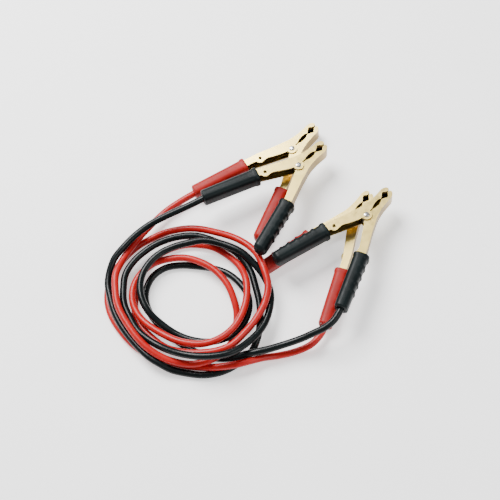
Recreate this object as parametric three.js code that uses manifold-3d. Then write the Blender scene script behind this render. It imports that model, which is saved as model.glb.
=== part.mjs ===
// A set of jumper cables: two cables in a loose coil with a spring clamp on each end.
// Millimetres, +Z up. The set lies on the floor, z = 0.

import * as THREE from "three";
import { mergeVertices } from "three/addons/utils/BufferGeometryUtils.js";
import Module from "manifold-3d";

const wasm = await Module();
wasm.setup();

const degrees = Math.PI / 180;

// Sheet metal lever
const sheet = 1.2;
const leverWidth = 15.5;
const leverShift = 0.75;
const pivotHoleRadius = 2.5;
const handleAngle = 18.8 * degrees;

// Rubber grip: how far it stands out beyond the sheet metal, and its length
const gripWall = 1.3;
const gripHalf = leverWidth / 2 + leverShift + gripWall;
const gripLength = 64.4;
const gripStart = [-37.7, 23.2];

// The handle ends this far before the end of its grip
const handleEndGap = 10;
const handleLength = gripLength - handleEndGap;

// Space between pieces that lie against each other
const clearance = 0.3;

// Cable, and the loose coil of both cables
const cableRadius = 3.75;
const coilOuterRadius = 82;
const coilInnerRadius = 46;
const coilLayer = 11;

// Way from the coil's middle to the end of the grip beside it, and the space between the two
const coilFacing = [0.913, 0.408];
const coilGap = 3.8;

// Middle of the clamps, which is the origin of the set
const setCentre = [42.8, 26.2];

const materials = {
  plate: new THREE.MeshStandardMaterial({ color: 0xd9c98f, metalness: 0.9, roughness: 0.35 }),
  steel: new THREE.MeshStandardMaterial({ color: 0xc4c6c8, metalness: 1, roughness: 0.3 }),
  redGrip: new THREE.MeshStandardMaterial({ color: 0xc8453c, roughness: 0.5 }),
  blackGrip: new THREE.MeshStandardMaterial({ color: 0x1d2426, roughness: 0.5 }),
  redCable: new THREE.MeshStandardMaterial({ color: 0xd84238, roughness: 0.45 }),
  blackCable: new THREE.MeshStandardMaterial({ color: 0x1b2224, roughness: 0.45 }),
};

const group = new THREE.Group();
group.name = "jumper_cables";

// Closed three.js geometry to a solid for cutting and joining, and back
function toSolid(geometry) {
  const bare = geometry.index ? geometry.toNonIndexed() : geometry.clone();
  bare.deleteAttribute("normal");
  bare.deleteAttribute("uv");
  const merged = mergeVertices(bare, 1e-4);
  return new wasm.Manifold(new wasm.Mesh({
    numProp: 3,
    vertProperties: new Float32Array(merged.attributes.position.array),
    triVerts: new Uint32Array(merged.index.array),
  }));
}

function toGeometry(solid) {
  const mesh = solid.getMesh();
  const geometry = new THREE.BufferGeometry();
  geometry.setAttribute("position", new THREE.Float32BufferAttribute(mesh.vertProperties, 3));
  geometry.setIndex(Array.from(mesh.triVerts));
  geometry.computeVertexNormals();
  return geometry;
}

// Flat outline made into a plate between two heights
function plate(outline, z0, z1) {
  const shape = new THREE.Shape(outline.map(([x, y]) => new THREE.Vector2(x, y)));
  const geometry = new THREE.ExtrudeGeometry(shape, { depth: z1 - z0, bevelEnabled: false });
  return toSolid(geometry.translate(0, 0, z0));
}

// Upright disc between two heights
function disc(radius, x, y, z0, z1, segments) {
  const geometry = new THREE.CylinderGeometry(radius, radius, z1 - z0, segments);
  return toSolid(geometry.rotateX(Math.PI / 2).translate(x, y, (z0 + z1) / 2));
}

function box(x0, x1, y0, y1, z0, z1) {
  const geometry = new THREE.BoxGeometry(x1 - x0, y1 - y0, z1 - z0);
  return toSolid(geometry.translate((x0 + x1) / 2, (y0 + y1) / 2, (z0 + z1) / 2));
}

// Lever

// Direction along a handle, away from the jaws, and the direction across it, outwards
const along = [-Math.cos(handleAngle), Math.sin(handleAngle)];
const across = [Math.sin(handleAngle), Math.cos(handleAngle)];

function onHandle(s, v) {
  return [
    gripStart[0] + s * along[0] + v * across[0],
    gripStart[1] + s * along[1] + v * across[1],
  ];
}

// Outer line of a lever from the nose of its jaw to the end of its handle
const leverBack = [
  [38.2, 0.8],
  [39, 2.2],
  [38.2, 4.2],
  [36.2, 5.8],
  [33, 6.8],
  [25, 6.9],
  [20, 7.1],
  [15, 7.7],
  [10, 8.6],
  [5, 10],
  [0, 12],
  [-10, 15.8],
  [-20, 20.3],
  [-30, 24.8],
  onHandle(0.6, 4),
  onHandle(handleLength, 4),
];

// Line of the jaw's biting edge, from the tip to the pivot, with its notch and slot
const jawEdge = [
  [8.5, 0.3],
  [9.5, 0.3],
  [13, 1.7],
  [18, 2.1],
  [22, 1.5],
  [24, 0.3],
  [24.8, 0.3],
  [31, 3.9],
  [35.3, 0.3],
  [35.8, 0.3],
  [36.3, 0.9],
  [36.8, 0.3],
  [37.3, 0.9],
  [37.8, 0.3],
];

function inset(line, distance) {
  return line.map((point, i) => {
    const a = line[Math.max(0, i - 1)];
    const b = line[Math.min(line.length - 1, i + 1)];
    const dx = b[0] - a[0];
    const dy = b[1] - a[1];
    const length = Math.hypot(dx, dy);
    return [point[0] - (dy / length) * distance, point[1] + (dx / length) * distance];
  });
}

function makeLever() {
  const low = leverShift - leverWidth / 2;
  const high = leverShift + leverWidth / 2;
  const innerLine = inset(leverBack, sheet);
  const handleInner = [onHandle(handleLength, -3.7), onHandle(0.6, -3.7)];
  const frontLine = [...leverBack, ...handleInner, [-30, 13], [-26.5, 12.7], [-23, 11], [-20, 8.8],
    [-15, 6], [-10, 3], [-4, 0.6], ...jawEdge];
  const rearLine = [...leverBack, ...handleInner, [-8, 3], [-4, 0.6], ...jawEdge];
  const web = plate([...leverBack, ...innerLine.slice().reverse()], low, high);
  const front = plate(frontLine, high - sheet, high)
    .add(disc(5.4, -31.5, 18.4, high - sheet, high, 20))
    .add(disc(5.7, 0, 0, high - sheet, high, 24));
  const rear = plate(rearLine, low, low + sheet)
    .add(disc(5.7, 0, 0, low, low + sheet, 24));
  return web.add(front).add(rear)
    .subtract(disc(1.9, -31.5, 18.4, high - sheet - 1, high + 1, 16))
    .subtract(disc(pivotHoleRadius, 0, 0, low - 1, high + 1, 24));
}

// Grip

// Station along the grip, half width on the inner side, half width on the outer side,
// and how far the faces lie below the grip's full thickness
const collar = [
  [0, 7.9, 8.2, 0.6],
  [1, 8.5, 8.9, 0],
  [4, 8.5, 8.9, 0],
  [6, 7.9, 7.9, 0],
];
const ribCount = 4;
const ribHeight = 1;
const ribHalf = 3;
const firstRib = 0.217 * gripLength;
const ribPitch = 0.155 * gripLength;
const ribs = Array.from({ length: ribCount }, (_, i) => {
  const s = firstRib + i * ribPitch;
  const half = 7.8 - 0.15 * i;
  return [
    [s - ribHalf, half, half, 0],
    [s, half, half + ribHeight, 0],
    [s + ribHalf, half - 0.05, half - 0.05, 0],
  ];
}).flat();
const gripStations = [...collar, ...ribs, [gripLength - 8.4, 7.1, 7.1, 0.2]];
const closedEnd = [
  [gripLength - 3.9, 6.6, 6.6, 0.7],
  [gripLength - 1.4, 5.2, 5.2, 2],
  [gripLength, 3, 3, 4.3],
];
const openEnd = [
  [gripLength - 0.8, 6.9, 6.9, 0.6],
  [gripLength, 6.5, 6.5, 1],
];
const gripCorner = 5;
const cornerSteps = 3;

// Ring of points round the grip at one station
function gripRing([s, inner, outer, drop]) {
  const half = gripHalf - drop;
  const ring = [];
  const corners = [
    [1, 1, 0],
    [-1, 1, 90],
    [-1, -1, 180],
    [1, -1, 270],
  ];
  for (const [sideV, sideZ, start] of corners) {
    const width = sideV > 0 ? outer : inner;
    const r = Math.min(gripCorner, width * 0.72, half * 0.72);
    for (let k = 0; k <= cornerSteps; k += 1) {
      const t = (start + (90 * k) / cornerSteps) * degrees;
      const v = sideV * (width - r) + r * Math.cos(t);
      const z = sideZ * (half - r) + r * Math.sin(t);
      ring.push([s, v, z]);
    }
  }
  return ring;
}

// Closed skin over a row of rings of points
function loft(rings) {
  const count = rings[0].length;
  const positions = rings.flat();
  const triangles = [];
  for (let i = 0; i < rings.length - 1; i += 1) {
    for (let k = 0; k < count; k += 1) {
      const a = i * count + k;
      const b = i * count + ((k + 1) % count);
      triangles.push(a, b, b + count, a, b + count, a + count);
    }
  }
  const last = (rings.length - 1) * count;
  const middle = (ring) => ring.reduce((sum, p) => sum.map((c, i) => c + p[i] / count), [0, 0, 0]);
  const startIndex = positions.length;
  const endIndex = startIndex + 1;
  positions.push(middle(rings[0]), middle(rings[rings.length - 1]));
  for (let k = 0; k < count; k += 1) {
    const next = (k + 1) % count;
    triangles.push(startIndex, next, k, endIndex, last + k, last + next);
  }
  const geometry = new THREE.BufferGeometry();
  geometry.setAttribute("position", new THREE.Float32BufferAttribute(positions.flat(), 3));
  geometry.setIndex(triangles);
  return geometry;
}

// Line of the cable inside its grip, across the grip
const cableLine = -1.3;

// Grip in its own axes: x along the handle, y across it outwards, z through it.
// The hollow takes the handle, and in a cable grip the cable beside it.
function makeGrip(open, slide) {
  const stations = [...gripStations, ...(open ? openEnd : closedEnd)];
  let grip = toSolid(loft(stations.map(gripRing)));
  const low = -leverShift - leverWidth / 2 - clearance;
  const high = -leverShift + leverWidth / 2 + clearance;
  grip = grip.subtract(box(-1, handleLength + 0.6 - slide, -4, 4.3, low, high));
  if (open) {
    const outletRadius = cableRadius + clearance;
    const outlet = new THREE.CylinderGeometry(outletRadius, outletRadius, 16, 16);
    outlet.rotateZ(Math.PI / 2).translate(gripLength - 6, cableLine, 0);
    grip = grip
      .subtract(box(16 - slide, gripLength - 4, cableLine - 4.2, 3, -4.1, 4.1))
      .subtract(toSolid(outlet));
  }
  return toGeometry(grip);
}

// Rivet

function makeRivet() {
  const head = leverWidth / 2 + leverShift + 0.25;
  const shank = pivotHoleRadius - 0.1;
  const profile = [
    [0, -head - 0.95],
    [1.7, -head - 0.85],
    [2.7, -head - 0.45],
    [3, -head],
    [shank, -head],
    [shank, head],
    [3, head],
    [2.7, head + 0.45],
    [1.7, head + 0.85],
    [0, head + 0.95],
  ];
  const geometry = new THREE.LatheGeometry(profile.map(([r, z]) => new THREE.Vector2(r, z)), 24);
  return geometry.rotateX(Math.PI / 2);
}

// Torsion spring: a helix round the rivet with a straight leg along each handle

const wireRadius = 0.9;
const springRadius = 4.2;
const springTurns = 4;
const springHeight = 2 * (leverWidth / 2 - leverShift - sheet - wireRadius - 0.7);
const springLegEnd = [-25, 19.6];
const legAngle = 55 * degrees;

class SpringLine extends THREE.Curve {
  getPoint(u) {
    const sweep = 2 * legAngle + springTurns * 2 * Math.PI;
    const height = springHeight;
    const legPart = 0.12;
    if (u < legPart || u > 1 - legPart) {
      const side = u < legPart ? 1 : -1;
      const k = u < legPart ? u / legPart : (1 - u) / legPart;
      const x = springRadius * Math.cos(legAngle);
      const y = springRadius * Math.sin(legAngle);
      return new THREE.Vector3(
        springLegEnd[0] + (x - springLegEnd[0]) * k,
        side * (springLegEnd[1] + (y - springLegEnd[1]) * k),
        (-side * height) / 2);
    }
    const k = (u - legPart) / (1 - 2 * legPart);
    const t = legAngle - sweep * k;
    return new THREE.Vector3(
      springRadius * Math.cos(t),
      springRadius * Math.sin(t),
      -height / 2 + height * k);
  }
}

function roundSection(radius, sides) {
  return new THREE.Shape(Array.from({ length: sides }, (_, i) => {
    const t = (2 * Math.PI * i) / sides;
    return new THREE.Vector2(radius * Math.cos(t), radius * Math.sin(t));
  }));
}

// Solid of round section along a curve
function alongCurve(curve, steps, radius, sides) {
  const geometry = new THREE.ExtrudeGeometry(roundSection(radius, sides), {
    steps,
    extrudePath: curve,
    bevelEnabled: false,
  });
  return toGeometry(toSolid(geometry));
}

// Clamps as they lie: pivot, direction of the jaws, how far the handles rise, and which lever has the cable
const clamps = [
  { name: "red_a", pivot: [43.1, 113.5, gripHalf], yaw: 49, rise: 0, cableOn: 1, slides: [9, 5], red: true },
  { name: "black_a", pivot: [51.7, 82.4, 3 * gripHalf - 0.2], yaw: 44.5, rise: 3, cableOn: 1, slides: [0, 0], red: false },
  { name: "red_b", pivot: [105.9, 27.6, gripHalf], yaw: 55, rise: 0, cableOn: 2, slides: [13, 0], red: true },
  { name: "black_b", pivot: [124.4, 23.6, 3 * gripHalf - 1], yaw: 52, rise: 2.5, cableOn: 2, slides: [0, 0], red: false },
];

const leverGeometry = toGeometry(makeLever());
const rivetGeometry = makeRivet();
const springGeometry = alongCurve(new SpringLine(), 50, wireRadius, 6);

// Point on the middle plane of a clamp, in the frame where the clamps' pivots are given
function clampPoint({ pivot, yaw, rise }, [x, y]) {
  const turn = new THREE.Euler(0, rise * degrees, yaw * degrees, "ZYX");
  return new THREE.Vector3(x, y, 0).applyEuler(turn).add(new THREE.Vector3(...pivot));
}

function addPiece(parent, name, geometry, material) {
  const mesh = new THREE.Mesh(geometry, material);
  mesh.name = name;
  parent.add(mesh);
  return mesh;
}

function addClamp({ name, pivot, yaw, rise, cableOn, slides, red }) {
  const clamp = new THREE.Group();
  clamp.position.set(pivot[0] - setCentre[0], pivot[1] - setCentre[1], pivot[2]);
  clamp.rotation.set(0, rise * degrees, yaw * degrees, "ZYX");
  group.add(clamp);
  const rubber = red ? materials.redGrip : materials.blackGrip;
  const sides = [new THREE.Group(), new THREE.Group()];
  sides[1].rotation.x = Math.PI;
  sides.forEach((side, i) => {
    clamp.add(side);
    const hasCable = cableOn === i + 1;
    const role = hasCable ? "cable" : "free";
    const slide = hasCable ? slides[0] : slides[1];
    addPiece(side, `${name}_${role}_lever`, leverGeometry, materials.plate);
    const grip = addPiece(side, `${name}_${role}_grip`, makeGrip(hasCable, slide), rubber);
    const start = onHandle(slide, 0);
    grip.matrixAutoUpdate = false;
    grip.matrix.makeBasis(
      new THREE.Vector3(along[0], along[1], 0),
      new THREE.Vector3(across[0], across[1], 0),
      new THREE.Vector3(0, 0, -1));
    grip.matrix.setPosition(start[0], start[1], 0);
  });
  addPiece(clamp, `${name}_pivot_rivet`, rivetGeometry, materials.steel);
  addPiece(clamp, `${name}_spring`, springGeometry, materials.steel);
}

clamps.forEach(addClamp);

// Cables: a free end from each grip to the coil, and the coil as a red ring under a black one

// The coil lies just off the end of the free grip of the second red clamp
const gripEnd = clampPoint(clamps[2], onHandle(gripLength, 0));
const coilMiddle = [
  gripEnd.x - (coilOuterRadius + coilGap) * coilFacing[0],
  gripEnd.y - (coilOuterRadius + coilGap) * coilFacing[1],
];

// Route of each free end from its grip to the coil: direction from the coil's middle in degrees,
// distance of the cable's line from the coil's edge, and height
const touching = cableRadius + 0.2;
const routes = {
  red_a: [
    [96, 35.5, 10],
    [104, 26, 10],
    [113, 17, 10.5],
    [123.5, 9, 11],
    [134, touching, 12],
  ],
  black_a: [
    [91.5, 17, 33.5],
    [103.5, 11.5, 29],
    [116.5, 9.7, 24],
    [129, 9.7, 20],
    [138.5, 8.7, 17],
    [147, touching, 17],
  ],
  red_b: [
    [-16, 63.5, 9.5],
    [-19.7, 56, 8],
    [-24.5, 43.3, 5.5],
    [-29.7, 31, 4],
    [-36.5, 19, 4],
    [-43.2, 10, 4],
    [-50, touching, 4],
  ],
  black_b: [
    [-11.2, 77, 31],
    [-13.5, 68, 28.5],
    [-15.7, 58, 25],
    [-19, 46, 20],
    [-25, 31.5, 15],
    [-32, 20.5, 13],
    [-39, 12, 14.5],
    [-46, touching, 16.8],
  ],
};

function besideCoil([direction, distance, height]) {
  const radius = coilOuterRadius + distance;
  const angle = direction * degrees;
  return new THREE.Vector3(
    coilMiddle[0] + radius * Math.cos(angle),
    coilMiddle[1] + radius * Math.sin(angle),
    height);
}

// Points on the cable's line inside a grip and just out of it, in the set's frame
function cableStart(clamp) {
  const exit = gripLength + clamp.slides[0];
  return [44, (44 + exit) / 2, exit, exit + 8].map((s) => {
    const [x, y] = onHandle(s, cableLine);
    return clampPoint(clamp, [x, clamp.cableOn === 1 ? y : -y]);
  });
}

function addFreeEnd(clamp) {
  const points = [
    ...cableStart(clamp),
    ...routes[clamp.name].map(besideCoil),
  ];
  points.forEach((point) => point.sub(new THREE.Vector3(setCentre[0], setCentre[1], 0)));
  const curve = new THREE.CatmullRomCurve3(points, false, "centripetal");
  const steps = Math.round(curve.getLength() / 12);
  const geometry = alongCurve(curve, steps, cableRadius, 10);
  const rubber = clamp.red ? materials.redCable : materials.blackCable;
  addPiece(group, `${clamp.name}_cable_end`, geometry, rubber);
}

clamps.forEach(addFreeEnd);

function addCoil(name, bottom, material) {
  const corner = 3;
  const top = bottom + coilLayer;
  const profile = [
    [coilInnerRadius + corner, bottom],
    [coilOuterRadius - corner, bottom],
    [coilOuterRadius, bottom + corner],
    [coilOuterRadius, top - corner],
    [coilOuterRadius - corner, top],
    [coilInnerRadius + corner, top],
    [coilInnerRadius, top - corner],
    [coilInnerRadius, bottom + corner],
    [coilInnerRadius + corner, bottom],
  ];
  const geometry = new THREE.LatheGeometry(profile.map(([r, z]) => new THREE.Vector2(r, z)), 48);
  geometry.rotateX(Math.PI / 2);
  const coil = addPiece(group, name, toGeometry(toSolid(geometry)), material);
  coil.position.set(coilMiddle[0] - setCentre[0], coilMiddle[1] - setCentre[1], 0);
}

addCoil("red_cable_coil", 0, materials.redCable);
addCoil("black_cable_coil", coilLayer + clearance, materials.blackCable);

group.updateMatrixWorld(true);

export default group;
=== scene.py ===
"""Looks of a set of jumper cables: two cables in a loose coil, with a spring clamp on each end."""

import math

import bmesh
import bpy
from mathutils import Matrix, Vector


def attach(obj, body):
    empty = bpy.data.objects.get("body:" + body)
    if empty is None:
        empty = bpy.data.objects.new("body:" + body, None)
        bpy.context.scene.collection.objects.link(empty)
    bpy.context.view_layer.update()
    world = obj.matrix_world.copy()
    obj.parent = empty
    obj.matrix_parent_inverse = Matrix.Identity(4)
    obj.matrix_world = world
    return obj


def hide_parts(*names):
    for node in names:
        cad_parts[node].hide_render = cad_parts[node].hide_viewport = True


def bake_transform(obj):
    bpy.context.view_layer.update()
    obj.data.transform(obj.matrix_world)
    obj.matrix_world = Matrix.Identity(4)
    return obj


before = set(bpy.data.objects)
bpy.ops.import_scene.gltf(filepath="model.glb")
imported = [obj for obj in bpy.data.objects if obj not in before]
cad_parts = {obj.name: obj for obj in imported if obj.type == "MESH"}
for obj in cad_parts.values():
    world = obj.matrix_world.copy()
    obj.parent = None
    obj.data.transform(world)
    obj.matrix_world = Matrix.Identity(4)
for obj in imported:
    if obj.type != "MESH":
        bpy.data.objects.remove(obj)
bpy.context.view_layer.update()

MM = 0.001
LEVER_WIDTH = 15.5
LEVER_SHIFT = 0.75
GRIP_HALF = LEVER_WIDTH / 2 + LEVER_SHIFT + 1.3
GRIP_LENGTH = 64.4
GRIP_START = (-37.7, 23.2)
HANDLE_ANGLE = math.radians(18.8)
CABLE_RADIUS = 3.75
CABLE_LINE = -1.3
SET_CENTRE = (42.8, 26.2)

# Clamps as they lie: pivot in mm, direction of the jaws, how far the handles rise,
# which lever has the cable, and how far each grip has slid off its handle
CLAMPS = {
    "red_a": dict(pivot=(43.1, 113.5, 9.8), yaw=49, rise=0, cable_on=1, slides=(9, 5), rubber="red"),
    "black_a": dict(pivot=(51.7, 82.4, 29.2), yaw=44.5, rise=3, cable_on=1, slides=(0, 0), rubber="black"),
    "red_b": dict(pivot=(105.9, 27.6, 9.8), yaw=55, rise=0, cable_on=2, slides=(13, 0), rubber="red"),
    "black_b": dict(pivot=(124.4, 23.6, 28.4), yaw=52, rise=2.5, cable_on=2, slides=(0, 0), rubber="black"),
}

# Camera at about the photograph's angle, as judged, in metres and mm of lens
CAMERA_TARGET = Vector((-SET_CENTRE[0] * MM, -SET_CENTRE[1] * MM, 0))
CAMERA_AZIMUTH = math.radians(13)
CAMERA_ELEVATION = math.radians(65)
CAMERA_DISTANCE = 1.4
CAMERA_LENS = 94.2
CAMERA_SENSOR = 36
CAMERA_CLIP_END = 20


def make_camera():
    flat = math.cos(CAMERA_ELEVATION)
    back = Vector((
        math.sin(CAMERA_AZIMUTH) * flat,
        -math.cos(CAMERA_AZIMUTH) * flat,
        math.sin(CAMERA_ELEVATION),
    ))
    level = Vector((math.cos(CAMERA_AZIMUTH), math.sin(CAMERA_AZIMUTH), 0))
    upright = level.cross(-back)
    roll = math.atan2(-upright.x, level.x)
    right = level * math.cos(roll) - upright * math.sin(roll)
    up = level * math.sin(roll) + upright * math.cos(roll)
    turn = Matrix((right, up, back)).transposed()
    data = bpy.data.cameras.new("camera")
    data.lens = CAMERA_LENS
    data.sensor_width = CAMERA_SENSOR
    data.clip_end = CAMERA_CLIP_END
    camera = bpy.data.objects.new("camera", data)
    bpy.context.collection.objects.link(camera)
    place = CAMERA_TARGET + back * CAMERA_DISTANCE
    camera.matrix_world = Matrix.Translation(place) @ turn.to_4x4()
    bpy.context.scene.camera = camera


make_camera()

# Routes of the two cables in mm, from the first clamp's grip round the coil to the second clamp's grip
RED_ROUTE = [
    (-97, 42, 9.8), (-105, 37, 9.8), (-118, 28.5, 9.8), (-134, 16, 10), (-147, 2, 10.5), (-158, -12, 11.3),
    (-168, -27, 12.5), (-177, -45, 15), (-182, -63, 19.3), (-181, -80, 19.7), (-177, -98, 19.7),
    (-166, -118, 19.7), (-147, -141, 18.5), (-127, -154, 15.5), (-109, -159, 12.8), (-94, -160, 12.5),
    (-79, -157, 14.5), (-67, -149, 12), (-58.5, -136.5, 6.5), (-54, -119, 4.2), (-53, -102, 7),
    (-57, -86, 10), (-64, -71, 12), (-78, -55, 12.2), (-93, -46, 12.2), (-110, -41, 12.2),
    (-127, -42, 12), (-143, -47, 11.9), (-154, -56, 11.9), (-161, -67, 11.9), (-164, -79, 12),
    (-163, -91, 12.2), (-158, -103, 12.5), (-149, -114, 13.5), (-130, -128, 17), (-107, -139, 20.5),
    (-84, -141, 21.5), (-66, -134, 21.5), (-53, -121, 20.5), (-45, -104, 20), (-42, -85, 19.5),
    (-44, -68, 17.5), (-52, -50, 11.5), (-67, -34, 5), (-82, -25, 4), (-97, -22, 4),
    (-112, -22, 4), (-129, -27, 4), (-143, -36, 4), (-154, -50, 4), (-160, -66, 4),
    (-162, -84, 4), (-161, -100, 4), (-154, -115, 4), (-141, -129, 6), (-124, -142, 11),
    (-105, -148, 15), (-86, -150, 19), (-70, -148, 20), (-56, -142, 20.3), (-43, -129, 20.5),
    (-31, -113, 21.3), (-23, -96, 22), (-20, -77, 23.5), (-25, -58, 24), (-35, -37, 19),
    (-54, -20, 13), (-78, -11, 12), (-105, -6, 11.5), (-130, -8, 8), (-146, -13, 4.5),
    (-164, -24, 4), (-180, -42, 4), (-190, -63, 4), (-192, -83, 4), (-187, -102, 4),
    (-174, -122, 4), (-157, -139, 4), (-139, -149, 4), (-118, -156, 4), (-97, -160, 4.3),
    (-78, -162, 8), (-63, -162, 12), (-50, -160, 12.5), (-37, -156, 11.5), (-23, -151, 8),
    (-9, -147.5, 4.8), (6, -144, 5), (17, -140.5, 6.8), (25, -136.5, 8.3), (31, -131, 9.3),
    (35.3, -125, 9.8), (38.8, -117, 9.8), (41.5, -107.5, 9.8),
]
BLACK_ROUTE = [
    (-83, 22.5, 33.9), (-92, 18, 34.4), (-108, 10, 33), (-130, 1, 29), (-149, -8, 25), (-165, -20, 22),
    (-177, -33, 19.8), (-185.5, -44, 17), (-190, -57, 13.5), (-191, -71, 12), (-187, -87, 11.9),
    (-181, -104, 11.9), (-171, -121, 11.9), (-156, -139, 12), (-141, -153, 12.3), (-129, -160, 11),
    (-118, -164.5, 7), (-103, -167, 4), (-84, -168.8, 4), (-66, -165.3, 4), (-51.5, -157.5, 4),
    (-39, -147, 4.3), (-31, -133, 8), (-28, -115, 11.2), (-29, -94, 12.1), (-34, -74, 12.3),
    (-41, -54, 12.5), (-55, -36, 13), (-76, -23, 12), (-100, -15, 12), (-123, -17, 12),
    (-141, -24, 12), (-155, -34, 12), (-166, -46, 12), (-173, -60, 12), (-174, -76, 12),
    (-172, -93, 12.2), (-164, -110, 12.5), (-153, -126, 13), (-131, -142, 16.5), (-104, -154, 25),
    (-78, -157, 27.8), (-54, -152, 27), (-37, -138, 22), (-24, -120, 17.8), (-18, -99, 15),
    (-18, -81, 14.5), (-25, -64, 15.5), (-36, -50, 18), (-51, -37, 20.5), (-71, -28, 20),
    (-90, -24, 20), (-107, -27, 20), (-123, -32, 20), (-136, -39, 20), (-146, -49, 20),
    (-153, -62, 19.8), (-155, -76, 19.7), (-152, -91, 19.7), (-144, -105, 18.5), (-133, -115, 15),
    (-115, -127, 12.3), (-97, -134, 12.5), (-77, -136, 13.5), (-59, -130, 13.5), (-46, -117, 12),
    (-40, -100, 12), (-42, -83, 11.8), (-51.5, -68.5, 10), (-65.5, -56, 6), (-81.5, -49.5, 4),
    (-99, -47, 4), (-116, -46, 4), (-132, -49, 4), (-144, -58, 4), (-150, -70, 4),
    (-151, -85, 4), (-145, -101, 4), (-135, -114, 4), (-122, -126, 4), (-107, -137, 4),
    (-91, -145, 4), (-75, -150, 4), (-62, -151, 5), (-51, -151, 9.8), (-39, -149, 14.5),
    (-29, -147.5, 16.5), (-18, -145, 17), (-2, -140, 17.5), (15, -135, 21), (29, -130, 25.5),
    (40, -125.5, 29), (49, -118.5, 31.5), (55.5, -107.5, 32.7), (58.7, -98, 32.3),
]

# Points for each step of a cable's route, and roundness of its section
SAMPLES = 7
CABLE_ROUNDNESS = 6


def through(points, samples):
    """Points on a centripetal Catmull-Rom curve through the given points."""
    line = [Vector(p) for p in points]
    line = [2 * line[0] - line[1]] + line + [2 * line[-1] - line[-2]]
    out = []
    for i in range(1, len(line) - 2):
        a, b, c, d = line[i - 1:i + 3]
        ta = 0.0
        tb = ta + (b - a).length ** 0.5
        tc = tb + (c - b).length ** 0.5
        td = tc + (d - c).length ** 0.5
        for k in range(samples):
            t = tb + (tc - tb) * k / samples
            ab = a * ((tb - t) / (tb - ta)) + b * ((t - ta) / (tb - ta))
            bc = b * ((tc - t) / (tc - tb)) + c * ((t - tb) / (tc - tb))
            cd = c * ((td - t) / (td - tc)) + d * ((t - tc) / (td - tc))
            abc = ab * ((tc - t) / (tc - ta)) + bc * ((t - ta) / (tc - ta))
            bcd = bc * ((td - t) / (td - tb)) + cd * ((t - tb) / (td - tb))
            out.append(abc * ((tc - t) / (tc - tb)) + bcd * ((t - tb) / (tc - tb)))
    return out + [line[-2]]


def to_mesh_piece(tube):
    """Replaces a curve object by a mesh object of the same name and shape."""
    name = tube.name
    mesh = bpy.data.meshes.new_from_object(tube)
    bpy.data.objects.remove(tube)
    piece = bpy.data.objects.new(name, mesh)
    bpy.context.collection.objects.link(piece)
    return piece


def make_tube(name, points, radius, roundness):
    """Solid of round section along a row of points in mm."""
    data = bpy.data.curves.new(name, "CURVE")
    data.dimensions = "3D"
    data.bevel_depth = radius * MM
    data.bevel_resolution = roundness
    data.use_fill_caps = True
    spline = data.splines.new("POLY")
    spline.points.add(len(points) - 1)
    for point, place in zip(spline.points, points):
        point.co = (place[0] * MM, place[1] * MM, place[2] * MM, 1)
    spline.use_smooth = True
    tube = bpy.data.objects.new(name, data)
    bpy.context.collection.objects.link(tube)
    return to_mesh_piece(tube)


def make_cable(name, route, colour):
    points = through(route, SAMPLES)
    cable = make_tube(name, points, CABLE_RADIUS, CABLE_ROUNDNESS)
    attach(cable, "base")
    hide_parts(f"{colour}_a_cable_end", f"{colour}_b_cable_end", f"{colour}_cable_coil")
    return cable


cables = {
    "red": make_cable("red_cable", RED_ROUTE, "red"),
    "black": make_cable("black_cable", BLACK_ROUTE, "black"),
}


# Materials

def add_node(tree, kind, **settings):
    node = tree.nodes.new(kind)
    for key, value in settings.items():
        if key in node.inputs:
            node.inputs[key].default_value = value
        else:
            setattr(node, key, value)
    return node


def noise(tree, scale, detail=3.0):
    """Noise in object space, in cycles per metre."""
    coords = add_node(tree, "ShaderNodeTexCoord")
    texture = add_node(tree, "ShaderNodeTexNoise", Scale=scale, Detail=detail)
    tree.links.new(coords.outputs["Object"], texture.inputs["Vector"])
    return texture.outputs["Fac"]


def ramp(tree, source, stops):
    node = add_node(tree, "ShaderNodeValToRGB")
    elements = node.color_ramp.elements
    while len(elements) < len(stops):
        elements.new(0.5)
    for element, (place, colour) in zip(elements, stops):
        element.position = place
        element.color = (*colour, 1)
    tree.links.new(source, node.inputs["Fac"])
    return node.outputs["Color"]


def grey(value):
    return (value, value, value)


def mixed(tree, mask, first, second):
    """Colour that goes from the first to the second as the mask goes from 0 to 1. Either may be a socket."""
    blend = tree.nodes.new("ShaderNodeMix")
    blend.data_type = "RGBA"
    tree.links.new(mask, blend.inputs[0])
    for socket, colour in ((blend.inputs[6], first), (blend.inputs[7], second)):
        if isinstance(colour, tuple):
            socket.default_value = (*colour, 1)
        else:
            tree.links.new(colour, socket)
    return blend.outputs[2]


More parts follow.
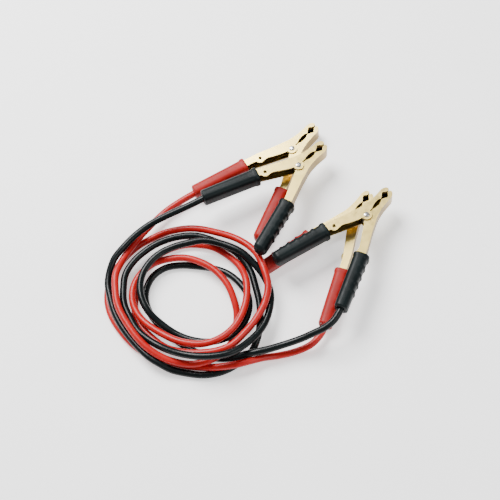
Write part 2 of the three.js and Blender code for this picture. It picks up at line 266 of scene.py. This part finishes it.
def surface(name, colours, rough, bump, metallic=0.0, spread=(0.35, 0.65), scale=45.0, painted_shade=None, painted_side_shade=None,
            **settings):
    """Material with a blotchy colour, uneven gloss and a fine bump, and if asked with another colour, a
    painted side shade, on what doesn't face along the object's z axis, and with painted shade darkening its
    corners.

    bump is the grain in cycles per metre, its strength and its depth. painted_shade is the colour of the
    painted shade in the corners, its reach in metres and the two ends of its mask.
    metres and the two ends of its mask."""
    material = bpy.data.materials.new(name)
    material.use_nodes = True
    tree = material.node_tree
    shader = tree.nodes["Principled BSDF"]
    colour = ramp(tree, noise(tree, scale), [(spread[0], colours[0]), (spread[1], colours[1])])
    # Painted shade: faces that don't point along the object's z axis, such as the sides of a lever, take a
    # darker colour that stands in for their darker reflection.
    if painted_side_shade:
        facing = add_node(tree, "ShaderNodeSeparateXYZ")
        tree.links.new(add_node(tree, "ShaderNodeTexCoord").outputs["Normal"], facing.inputs["Vector"])
        upright = add_node(tree, "ShaderNodeMath", operation="ABSOLUTE")
        tree.links.new(facing.outputs["Z"], upright.inputs[0])
        mask = ramp(tree, upright.outputs[0], [(0.5, grey(0)), (0.95, grey(1))])
        colour = mixed(tree, mask, painted_side_shade, colour)
    # Painted shade: corners and hollows, found by an ambient occlusion mask, darken towards a near-black
    # colour.
    if painted_shade:
        corners = add_node(tree, "ShaderNodeAmbientOcclusion", Distance=painted_shade[1], only_local=True)
        mask = ramp(tree, corners.outputs["AO"], [(painted_shade[2], grey(0)), (painted_shade[3], grey(1))])
        colour = mixed(tree, mask, painted_shade[0], colour)
    tree.links.new(colour, shader.inputs["Base Color"])
    tree.links.new(
        ramp(tree, noise(tree, scale * 4), [(0.3, grey(rough[0])), (0.7, grey(rough[1]))]),
        shader.inputs["Roughness"])
    grain = add_node(tree, "ShaderNodeBump", Strength=bump[1], Distance=bump[2])
    tree.links.new(noise(tree, bump[0], 2.0), grain.inputs["Height"])
    tree.links.new(grain.outputs["Normal"], shader.inputs["Normal"])
    shader.inputs["Metallic"].default_value = metallic
    for key, value in settings.items():
        shader.inputs[key.replace("_", " ")].default_value = value
    return material


materials = {
    "red_cable": surface("red_cable_rubber", [(0.35, 0.004, 0.004), (0.43, 0.008, 0.007)],
                         (0.28, 0.36), (900, 0.12, 0.0004), Specular_IOR_Level=0.25),
    "black_cable": surface("black_cable_rubber", [(0.0015, 0.003, 0.0033), (0.003, 0.0055, 0.006)],
                           (0.24, 0.32), (900, 0.12, 0.0004), Specular_IOR_Level=0.18),
    "red_grip": surface("red_grip_rubber", [(0.26, 0.006, 0.005), (0.32, 0.010, 0.008)],
                        (0.42, 0.52), (1400, 0.18, 0.0004), Specular_IOR_Level=0.18),
    "black_grip": surface("black_grip_rubber", [(0.0015, 0.004, 0.0045), (0.003, 0.007, 0.0075)],
                          (0.38, 0.48), (1400, 0.18, 0.0004), Specular_IOR_Level=0.14),
    # The plated sheet carries painted shade: darker brass on its sides, and near-black in its corners and
    # inside its channels.
    "plate": surface("plated_sheet", [(0.70, 0.53, 0.16), (0.77, 0.60, 0.21)],
                     (0.28, 0.38), (500, 0.10, 0.0003), metallic=1.0, spread=(0.2, 0.8),
                     painted_side_shade=(0.34, 0.23, 0.08), painted_shade=((0.014, 0.009, 0.005), 0.014, 0.45, 0.80)),
    "rivet": surface("rivet_steel", [(0.60, 0.60, 0.60), (0.76, 0.76, 0.75)],
                     (0.14, 0.22), (700, 0.08, 0.0003), metallic=1.0),
    "spring": surface("spring_steel", [(0.30, 0.27, 0.22), (0.45, 0.41, 0.33)],
                      (0.28, 0.40), (700, 0.08, 0.0003), metallic=1.0),
}


def dress(piece, material):
    piece.data.materials.clear()
    piece.data.materials.append(materials[material])


for colour, cable in cables.items():
    dress(cable, f"{colour}_cable")


# Places of the clamps and of their grips

def clamp_place(clamp):
    x, y, z = clamp["pivot"]
    shift = Matrix.Translation((x - SET_CENTRE[0], y - SET_CENTRE[1], z))
    yaw = Matrix.Rotation(math.radians(clamp["yaw"]), 4, "Z")
    rise = Matrix.Rotation(math.radians(clamp["rise"]), 4, "Y")
    return shift @ yaw @ rise


def grip_place(clamp, side, slide):
    """Place of a grip's own axes: x along the handle, y across it outwards."""
    turn = Matrix.Rotation(math.pi, 4, "X") if side == 2 else Matrix.Identity(4)
    c, s = math.cos(HANDLE_ANGLE), math.sin(HANDLE_ANGLE)
    start = (GRIP_START[0] - c * slide, GRIP_START[1] + s * slide)
    axes = Matrix((
        (-c, s, 0, start[0]),
        (s, c, 0, start[1]),
        (0, 0, -1, 0),
        (0, 0, 0, 1),
    ))
    return clamp_place(clamp) @ turn @ axes


def mesh_piece(name, rings, place, closed_start, closed_end):
    """Skin over rings of points in mm, put in its place."""
    builder = bmesh.new()
    rows = [[builder.verts.new((place @ Vector(p)) * MM) for p in ring] for ring in rings]
    count = len(rings[0])
    for row, following in zip(rows, rows[1:]):
        for k in range(count):
            after = (k + 1) % count
            builder.faces.new((row[k], row[after], following[after], following[k]))
    if closed_start:
        builder.faces.new(list(reversed(rows[0])))
    if closed_end:
        builder.faces.new(rows[-1])
    bmesh.ops.recalc_face_normals(builder, faces=builder.faces)
    mesh = bpy.data.meshes.new(name)
    builder.to_mesh(mesh)
    builder.free()
    mesh.polygons.foreach_set("use_smooth", [True] * len(mesh.polygons))
    piece = bpy.data.objects.new(name, mesh)
    bpy.context.collection.objects.link(piece)
    return piece


CORNER_STEPS = 7
CORNERS = ((1, 1, 0), (-1, 1, 90), (-1, -1, 180), (1, -1, 270))


def section(s, inner, outer, half, corner, middle=(0, 0)):
    """Rounded rectangle across a grip at one station."""
    ring = []
    for side_v, side_z, start in CORNERS:
        width = outer if side_v > 0 else inner
        r = min(corner, width, half)
        for k in range(CORNER_STEPS + 1):
            t = math.radians(start + 90 * k / CORNER_STEPS)
            v = side_v * (width - r) + r * math.cos(t) + middle[0]
            z = side_z * (half - r) + r * math.sin(t) + middle[1]
            ring.append((s, v, z))
    return ring


def eased(x):
    x = min(1.0, max(0.0, x))
    return x * x * (3 - 2 * x)


GRIP_CORNER = 5.8

# Half width of a grip behind its lip and how much less it is at the end, and how far its faces lie in
GRIP_WIDTH = 7.85
GRIP_TAPER = 0.75
FACE_DROP = 0.35
FACE_RUN = 12

# Lip round the mouth of a grip
LIP_END = 5.6
LIP_SLOPE = 1.6
LIP_OUTER = 1.0
LIP_INNER = 0.6

# Ribs on the outer side
RIB_COUNT = 4
FIRST_RIB = 0.217 * GRIP_LENGTH
RIB_PITCH = 0.155 * GRIP_LENGTH
RIB_HEIGHT = 1.0
RIB_HALF = 2.6
RIB_POWER = 1.4

# Pocket for the handle, its rim, and the front face as steps of place and drop
POCKET_DEPTH = 9
POCKET_START = 1.0
POCKET = dict(inner=4.2, outer=4.3, half=8.0, corner=1.2, middle=(0, -LEVER_SHIFT))
RIM_START = 0.25
RIM = dict(inner=4.6, outer=4.7, half=8.3, corner=1.6, middle=(0, -LEVER_SHIFT))
FRONT = ((0.0, 1.5), (0.15, 0.8), (0.5, 0.3))

# Rings along a grip
FIRST_STATION = 1.2
STATION_STEP = 0.65

# Open end with the cable's hole
OPEN_LENGTH = 2.0
OPEN_RUN = 1.9
OPEN_DROP = 1.8
OPEN_STEPS = 6
HOLE_GAP = 0.15
HOLE_RIM = 0.6
HOLE_RIM_START = 0.1
HOLE_START = 0.5
HOLE_DEPTH = 9

# Closed end
CLOSED_LENGTH = 5.2
CLOSED_DROP = 4.6
CLOSED_STEPS = 9
CLOSED_FACE_SHARE = 1.15


def grip_outline(s, is_ribbed):
    """Half widths of a grip on its inner and outer side, and how far its faces lie in, at one station."""
    inner = GRIP_WIDTH - GRIP_TAPER * s / GRIP_LENGTH
    lip = eased((LIP_END - s) / LIP_SLOPE)
    outer = inner + LIP_OUTER * lip
    inner += LIP_INNER * lip
    for i in range(RIB_COUNT):
        away = abs(s - FIRST_RIB - i * RIB_PITCH) / RIB_HALF
        if is_ribbed and away < 1:
            outer += RIB_HEIGHT * math.cos(away * math.pi / 2) ** RIB_POWER
    return inner, outer, FACE_DROP * (1 - lip) * eased(s / FACE_RUN)


def make_grip(name, place, is_open, is_ribbed):
    rings = [section(POCKET_DEPTH, **POCKET), section(POCKET_START, **POCKET), section(RIM_START, **RIM)]
    inner, outer, _ = grip_outline(0, is_ribbed)
    for back, drop in FRONT:
        rings.append(section(back, inner - drop, outer - drop, GRIP_HALF - drop, GRIP_CORNER - drop / 2))
    station = FIRST_STATION
    last = GRIP_LENGTH - (OPEN_LENGTH if is_open else CLOSED_LENGTH)
    while station < last:
        inner, outer, drop = grip_outline(station, is_ribbed)
        rings.append(section(station, inner, outer, GRIP_HALF - drop, GRIP_CORNER))
        station += STATION_STEP
    inner, outer, drop = grip_outline(last, is_ribbed)
    if is_open:
        for k in range(OPEN_STEPS + 1):
            t = k / OPEN_STEPS * math.pi / 2
            less = OPEN_DROP * (1 - math.cos(t))
            rings.append(section(last + OPEN_RUN * math.sin(t), inner - less, outer - less,
                                 GRIP_HALF - drop - less, GRIP_CORNER))
        hole = CABLE_RADIUS + HOLE_GAP
        for back, radius in ((HOLE_RIM_START, hole + HOLE_RIM), (HOLE_START, hole), (HOLE_DEPTH, hole)):
            rings.append(section(GRIP_LENGTH - back, radius, radius, radius, radius, (CABLE_LINE, 0)))
    else:
        for k in range(1, CLOSED_STEPS + 1):
            t = k / CLOSED_STEPS * math.pi / 2
            less = CLOSED_DROP * (1 - math.cos(t))
            rings.append(section(last + CLOSED_LENGTH * math.sin(t), inner - less, outer - less,
                                 GRIP_HALF - drop - CLOSED_FACE_SHARE * less, GRIP_CORNER))
    return mesh_piece(name, rings, place, True, True)


for name, clamp in CLAMPS.items():
    for side in (1, 2):
        has_cable = clamp["cable_on"] == side
        role = "cable" if has_cable else "free"
        slide = clamp["slides"][0 if has_cable else 1]
        is_ribbed = name.endswith("_b") or not has_cable
        grip = make_grip(f"{name}_{role}_grip_rubber", grip_place(clamp, side, slide), has_cable, is_ribbed)
        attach(grip, "base" if has_cable else f"{name}_free_jaw")
        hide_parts(f"{name}_{role}_grip")
        dress(grip, f"{clamp['rubber']}_grip")


# Springs: a close coil round the rivet, with a leg along each handle

SPRING_RADIUS = 4.2
SPRING_WIRE = 0.9
SPRING_TURNS = 5
SPRING_HALF = 3.6
SPRING_LEG_END = (-25, 19.6)
SPRING_STEPS = 150
SPRING_LEG_STEPS = 8
SPRING_ROUNDNESS = 3
LEG_ANGLE = math.radians(55)


def spring_line():
    sweep = 2 * LEG_ANGLE + SPRING_TURNS * 2 * math.pi
    coil = []
    for i in range(SPRING_STEPS + 1):
        k = i / SPRING_STEPS
        t = LEG_ANGLE - sweep * k
        coil.append(Vector((
            SPRING_RADIUS * math.cos(t),
            SPRING_RADIUS * math.sin(t),
            -SPRING_HALF + 2 * SPRING_HALF * k,
        )))
    first = Vector((*SPRING_LEG_END, -SPRING_HALF))
    last = Vector((SPRING_LEG_END[0], -SPRING_LEG_END[1], SPRING_HALF))
    start = [first.lerp(coil[0], k / SPRING_LEG_STEPS) for k in range(SPRING_LEG_STEPS)]
    end = [coil[-1].lerp(last, k / SPRING_LEG_STEPS) for k in range(1, SPRING_LEG_STEPS + 1)]
    return start + coil + end


for name, clamp in CLAMPS.items():
    place = clamp_place(clamp)
    line = [place @ p for p in spring_line()]
    spring = make_tube(f"{name}_spring_wire", line, SPRING_WIRE, SPRING_ROUNDNESS)
    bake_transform(spring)
    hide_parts(f"{name}_spring")
    dress(spring, "spring")


# Levers and rivets keep their shapes from the model

SHARP_ANGLE = math.radians(32)
MERGE_DISTANCE = 0.00002
ROUNDING = 0.0002


def smoothing():
    """Geometry nodes that join the triangles and smooth the shading over every edge but the sharp ones."""
    group = bpy.data.node_groups.new("smooth_shading", "GeometryNodeTree")
    group.interface.new_socket("Geometry", in_out="INPUT", socket_type="NodeSocketGeometry")
    group.interface.new_socket("Geometry", in_out="OUTPUT", socket_type="NodeSocketGeometry")
    start = group.nodes.new("NodeGroupInput")
    bare = add_node(group, "GeometryNodeRemoveAttribute", Name="custom_normal")
    joined = add_node(group, "GeometryNodeMergeByDistance", Distance=MERGE_DISTANCE)
    faces = add_node(group, "GeometryNodeSetShadeSmooth", domain="FACE")
    edges = add_node(group, "GeometryNodeSetShadeSmooth", domain="EDGE")
    angle = group.nodes.new("GeometryNodeInputMeshEdgeAngle")
    blunt = add_node(group, "FunctionNodeCompare", operation="LESS_THAN", data_type="FLOAT")
    blunt.inputs[1].default_value = SHARP_ANGLE
    end = group.nodes.new("NodeGroupOutput")
    group.links.new(start.outputs[0], bare.inputs[0])
    group.links.new(bare.outputs[0], joined.inputs[0])
    group.links.new(joined.outputs[0], faces.inputs[0])
    group.links.new(faces.outputs[0], edges.inputs[0])
    group.links.new(angle.outputs["Unsigned Angle"], blunt.inputs[0])
    group.links.new(blunt.outputs[0], edges.inputs["Shade Smooth"])
    group.links.new(edges.outputs[0], end.inputs[0])
    return group


smooth_shading = smoothing()


def round_edges(piece, width):
    piece.modifiers.new("smooth", "NODES").node_group = smooth_shading
    bevel = piece.modifiers.new("rounded", "BEVEL")
    bevel.width = width
    bevel.segments = 2
    bevel.limit_method = "ANGLE"
    bevel.angle_limit = SHARP_ANGLE
    bevel.harden_normals = True


for name in CLAMPS:
    for role in ("cable", "free"):
        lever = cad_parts[f"{name}_{role}_lever"]
        dress(lever, "plate")
        round_edges(lever, ROUNDING)
    dress(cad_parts[f"{name}_pivot_rivet"], "rivet")


# Floor and lights

FLOOR_HALF = 4
FLOOR_GLOW = 0.7
LIGHT_TARGET = (-0.05, -0.03, 0)
WORLD_STRENGTH = 0.45


def make_floor():
    mesh = bpy.data.meshes.new("floor")
    corners = [(x * FLOOR_HALF, y * FLOOR_HALF, 0) for x, y in ((-1, -1), (1, -1), (1, 1), (-1, 1))]
    mesh.from_pydata(corners, [], [(0, 1, 2, 3)])
    floor = bpy.data.objects.new("floor", mesh)
    bpy.context.collection.objects.link(floor)
    materials["floor"] = surface("pale_floor", [(0.90, 0.90, 0.90), (0.93, 0.93, 0.93)],
                                 (0.85, 0.95), (200, 0.02, 0.0002), scale=6.0)
    shader = materials["floor"].node_tree.nodes["Principled BSDF"]
    shader.inputs["Emission Color"].default_value = (1, 1, 1, 1)
    shader.inputs["Emission Strength"].default_value = FLOOR_GLOW
    dress(floor, "floor")


def make_light(name, place, size, power):
    data = bpy.data.lights.new(name, "AREA")
    data.shape = "RECTANGLE"
    data.size = size[0]
    data.size_y = size[1]
    data.energy = power
    light = bpy.data.objects.new(name, data)
    bpy.context.collection.objects.link(light)
    light.location = place
    light.rotation_euler = (Vector(LIGHT_TARGET) - Vector(place)).to_track_quat("-Z", "Y").to_euler()


make_floor()
make_light("key", (-0.75, 0.85, 1.5), (1.0, 1.0), 90)
make_light("fill", (1.2, -0.8, 1.4), (1.4, 1.0), 16)
world = bpy.data.worlds.new("world")
bpy.context.scene.world = world
world.use_nodes = True
world.node_tree.nodes["Background"].inputs["Color"].default_value = (1, 1, 1, 1)
world.node_tree.nodes["Background"].inputs["Strength"].default_value = WORLD_STRENGTH

bpy.context.view_layer.update()
